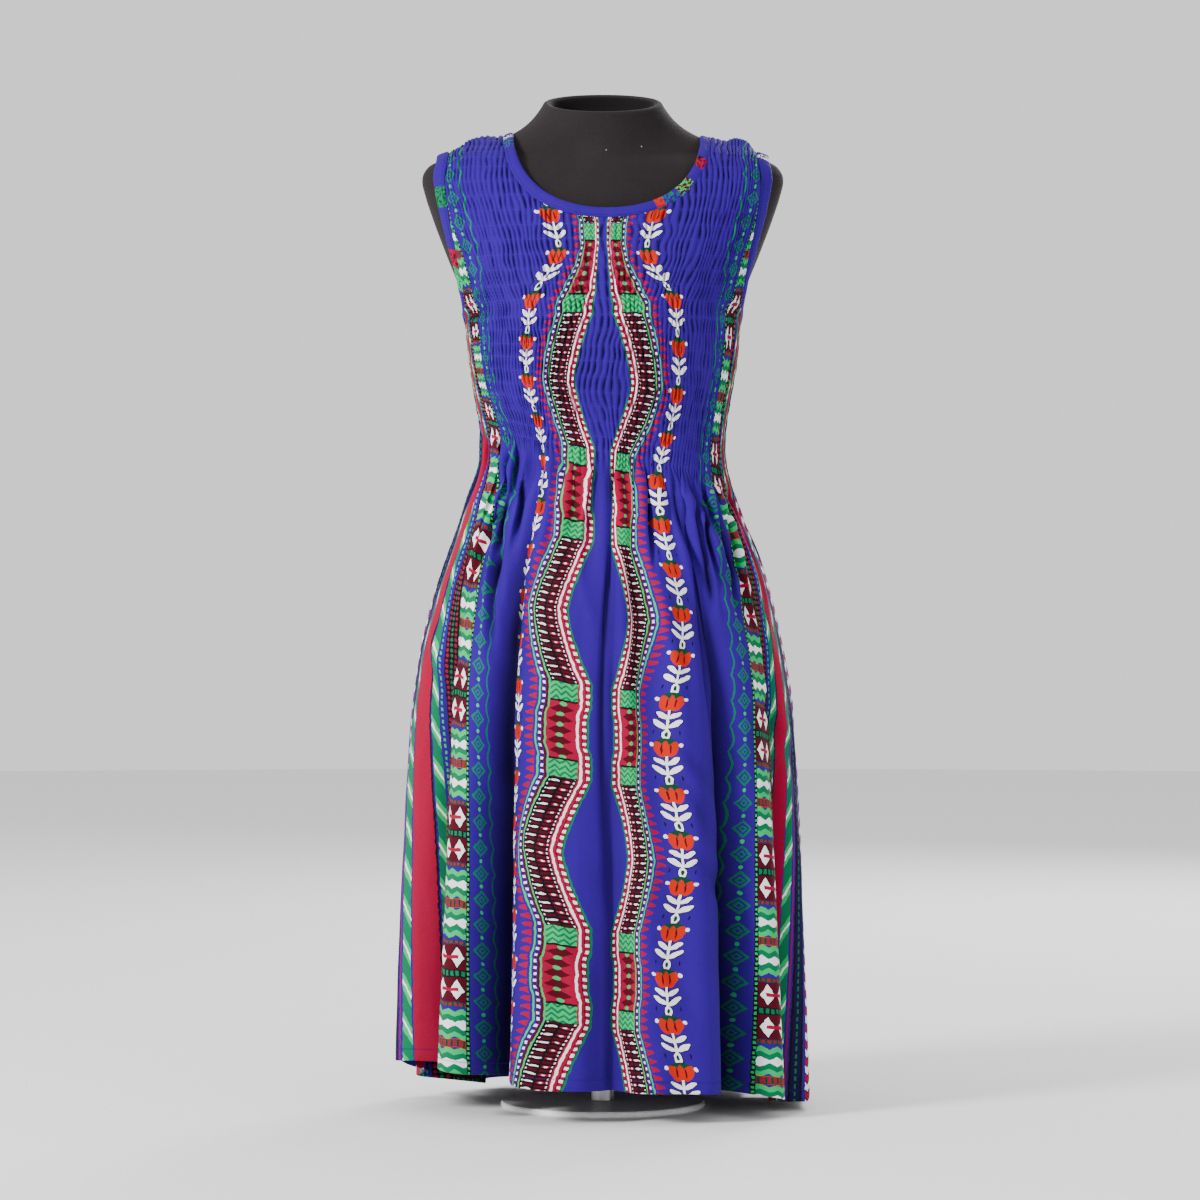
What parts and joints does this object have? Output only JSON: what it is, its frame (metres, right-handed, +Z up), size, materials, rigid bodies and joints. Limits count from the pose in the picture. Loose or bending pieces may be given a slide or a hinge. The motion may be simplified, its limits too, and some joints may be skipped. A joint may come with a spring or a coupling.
{
  "type": "sleeveless smocked print dress on a limbless dress form with pole and base",
  "caption": "Sleeveless wax print cotton dress, smocked from the neck to the waist over a flared gathered skirt, worn on a limbless dress form that stands on a pole and a round base.",
  "frame": {"origin": "middle of the underside of the round base, on the floor", "axes": "+Z up through the pole to the neck, the wearer's front faces -Y, +X towards the wearer's left"},
  "size_m": [0.4459, 0.3778, 1.098],
  "materials": {
    "print_cotton": "printed plain weave cotton, matt",
    "binding_cotton": "folded strips of the same cotton",
    "black_jersey": "fine black knit pulled over the form",
    "steel": "plain rod",
    "white_enamel": "smooth white paint"
  },
  "bodies": {
    "root": {"front_panel": "print_cotton", "back_panel": "print_cotton", "neck_binding": "binding_cotton", "armhole_binding_left": "binding_cotton", "armhole_binding_right": "binding_cotton", "form_torso": "black_jersey", "form_pole": "steel", "form_base": "white_enamel"}
  },
  "joints": []
}
